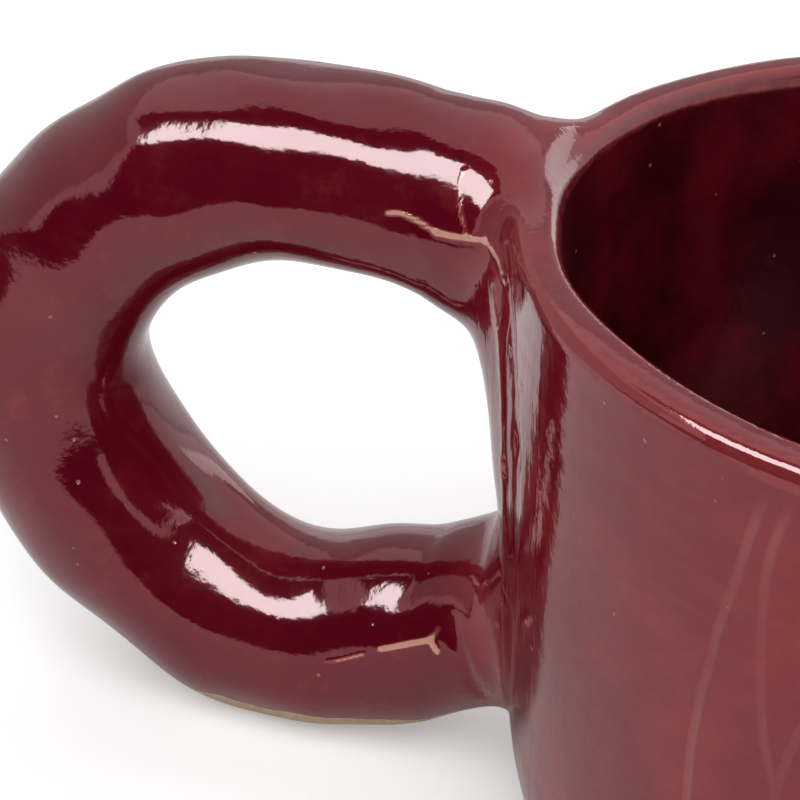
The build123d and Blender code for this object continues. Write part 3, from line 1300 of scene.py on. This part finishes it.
@dataclass
class Studio:
    """Pale table, soft light from above the camera, and the camera at the photograph's angle.

    The glaze is so glossy that it shows the whole room. Cards that only reflections see stand in for it: a dark
    room in front, softboxes for the highlights, and grey for the sides.
    """

    azimuth: float = 19.94
    elevation: float = 29.96
    roll: float = 0.57
    target: tuple[float, float, float] = (-52.4, -19.1, 52.8)
    distance: float = 217.9
    lens: float = 103.5
    gloss_level: float = 0.97
    world_level: float = 0.55
    cards: tuple[Card, ...] = (
        Card("softbox_front", -12.0, 50.0, 0.6, 0.78, 0.24, 15.0, (0.55, 1.0, 1.0)),
        Card("softbox_right", 118.0, 36.0, 0.7, 0.60, 0.40, 1.2, (0.6, 1.0, 1.0)),
        Card("softbox_back", 160.0, 15.0, 0.8, 0.34, 0.20, 2.2, (0.85, 1.0, 1.0)),
        Card("grey_left", -102.0, 14.0, 0.9, 1.6, 0.8, 0.50),
        Card("grey_back", 200.0, 25.0, 1.0, 1.6, 0.42, 0.50),
    )
    dark_cards: tuple[tuple[str, float, float, float, float], ...] = (
        ("dark_front", -1.2, 0.001, -0.15, 0.001),
        ("dark_back", -1.0, 0.0, -0.9, 1.1),
        ("dark_top", -0.95, 1.1, -0.12, 1.1),
    )

    def toward(self, azimuth: float, elevation: float) -> Vector:
        """Direction from the cup to this azimuth and elevation in degrees."""
        a, e = math.radians(azimuth), math.radians(elevation)
        return Vector((math.sin(a) * math.cos(e), -math.cos(a) * math.cos(e), math.sin(e)))

    def camera(self) -> None:
        """Sets the camera."""
        data = bpy.data.cameras.new("camera")
        data.lens = self.lens
        data.sensor_width = 36.0
        data.clip_start = 0.01
        data.clip_end = 20.0
        camera = linked("camera", data)
        back = self.toward(self.azimuth, self.elevation)
        turn = (-back).to_track_quat("-Z", "Y").to_matrix() @ Matrix.Rotation(math.radians(self.roll), 3, "Z")
        camera.matrix_world = Matrix.Translation((Vector(self.target) + back * self.distance) * MM) @ turn.to_4x4()
        bpy.context.scene.camera = camera

    def plain(
        self,
        name: str,
        colour: float,
        glow: float,
        camera_glow: float = 0.0,
        hue: tuple[float, float, float] = (1.0, 1.0, 1.0),
    ) -> bpy.types.Material:
        """A matt material with a little glow, and more of it for the camera.

        Args:
            name: The material's name.
            colour: Its grey.
            glow: Light that it gives off.
            camera_glow: Light added for camera and transmission rays.
            hue: Colour of its light.

        Returns:
            The material.
        """
        matt = bpy.data.materials.new(name)
        bench = NodeBench(matt)
        diffuse = bench.add("ShaderNodeBsdfDiffuse", None, Color=(colour, colour, colour, 1.0)).outputs[0]
        paths = bench.add("ShaderNodeLightPath").outputs
        seen = bench.math("MAXIMUM", paths["Is Camera Ray"], paths["Is Transmission Ray"])
        strength = bench.plus(bench.times(seen, camera_glow), glow)
        light = bench.add("ShaderNodeEmission", None, Color=(*hue, 1.0), Strength=strength).outputs[0]
        both = bench.add("ShaderNodeAddShader", None, n0=diffuse, n1=light).outputs[0]
        bench.feed(bench.end.inputs["Surface"], both)
        return matt

    def panel(
        self, name: str, corners: list[tuple[float, float, float]], material: bpy.types.Material, gloss_only: bool
    ) -> None:
        """A flat four-cornered panel of the studio.

        Args:
            name: Its name.
            corners: Its corners in metres.
            material: Its finish.
            gloss_only: Whether it shows in reflections alone.
        """
        bm = bmesh.new()
        bmesh.ops.contextual_create(bm, geom=[bm.verts.new(corner) for corner in corners])
        mesh = mesh_of(bm, name)
        mesh.materials.append(material)
        panel = linked(name, mesh)
        if gloss_only:
            panel.visible_camera = panel.visible_diffuse = panel.visible_transmission = False
            panel.visible_shadow = panel.visible_volume_scatter = False

    def facing(self, card: Card) -> None:
        """Sets up one card.

        Args:
            card: Which one.
        """
        back = self.toward(card.azimuth, card.elevation)
        across = Vector((0, 0, 1)).cross(back).normalized()
        up = back.cross(across)
        middle = Vector((-0.05, 0, 0.04)) + back * card.away
        across, up = across * card.wide / 2, up * card.high / 2
        corners = [tuple(middle + across * i + up * j) for i, j in ((-1, -1), (1, -1), (1, 1), (-1, 1))]
        self.panel(card.name, corners, self.plain(card.name, 0.0, card.glow, hue=card.hue), True)

    def lamp(self, name: str, azimuth: float, elevation: float, away: float, size: float, power: float) -> None:
        """A soft square lamp aimed at the cup, not itself seen in the glaze.

        Args:
            name: Its name.
            azimuth: Where it stands round the cup, in degrees.
            elevation: How high it stands, in degrees.
            away: Its distance in metres.
            size: Its width in metres.
            power: Its power in watts.
        """
        data = bpy.data.lights.new(name, "AREA")
        data.shape = "SQUARE"
        data.size = size
        data.energy = power
        lamp = linked(name, data)
        back = self.toward(azimuth, elevation)
        turn = (-back).to_track_quat("-Z", "Y").to_matrix().to_4x4()
        lamp.matrix_world = Matrix.Translation(Vector((-0.03, 0, 0.04)) + back * away) @ turn
        lamp.visible_glossy = False

    def world(self) -> None:
        """White surroundings for the camera and the glaze, at a plain level on matt surfaces."""
        world = bpy.data.worlds.new("studio")
        bpy.context.scene.world = world
        bench = NodeBench(world, "ShaderNodeOutputWorld")
        paths = bench.add("ShaderNodeLightPath").outputs
        seen = bench.math("MAXIMUM", paths["Is Camera Ray"], paths["Is Transmission Ray"])
        gloss = bench.times(paths["Is Glossy Ray"], (self.gloss_level - self.world_level) / (1.0 - self.world_level))
        share = bench.math("MAXIMUM", seen, gloss)
        strength = bench.add("ShaderNodeMapRange", None, Value=share, To_Min=self.world_level, To_Max=1.0).outputs[0]
        white = bench.add("ShaderNodeBackground", None, Color=(1.0, 1.0, 1.0, 1.0), Strength=strength).outputs[0]
        bench.feed(bench.end.inputs["Surface"], white)

    def build(self) -> None:
        """Sets up table, light, reflections and camera."""
        self.camera()
        self.world()
        table = self.plain("pale_table", 0.90, 0.0, 0.30)
        self.panel("table", [(-3, -3, 0), (3, -3, 0), (3, 3, 0), (-3, 3, 0)], table, False)
        dark = self.plain("dark_room", 0.0, 0.0)
        for name, near, low, far, high in self.dark_cards:
            self.panel(name, [(-1.2, near, low), (1.2, near, low), (1.2, far, high), (-1.2, far, high)], dark, True)
        for card in self.cards:
            self.facing(card)
        self.lamp("key_lamp", 15.0, 58.0, 0.8, 0.5, 3.0)
        self.lamp("fill_lamp", 200.0, 60.0, 0.9, 0.7, 1.5)


def main() -> None:
    """Builds the pieces in order, dresses them and sets up the studio."""
    logging.basicConfig(level=logging.INFO, format="%(relativeCreated)d ms %(message)s")
    scene = bpy.context.scene
    scene.view_settings.view_transform = "Standard"
    Studio().build()
    cup = CupForm()
    clay = Clay(cup, (LoopForm(Side.LEFT), LoopForm(Side.RIGHT, seed=37)))
    glaze = OxbloodGlaze().material()
    pieces = {**LutedBody(clay).parts(glaze), **FloorAndCove(cup).parts(glaze)}
    for node, piece in pieces.items():
        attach(piece, "root")
        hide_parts(node)


if __name__ == "__main__":
    main()
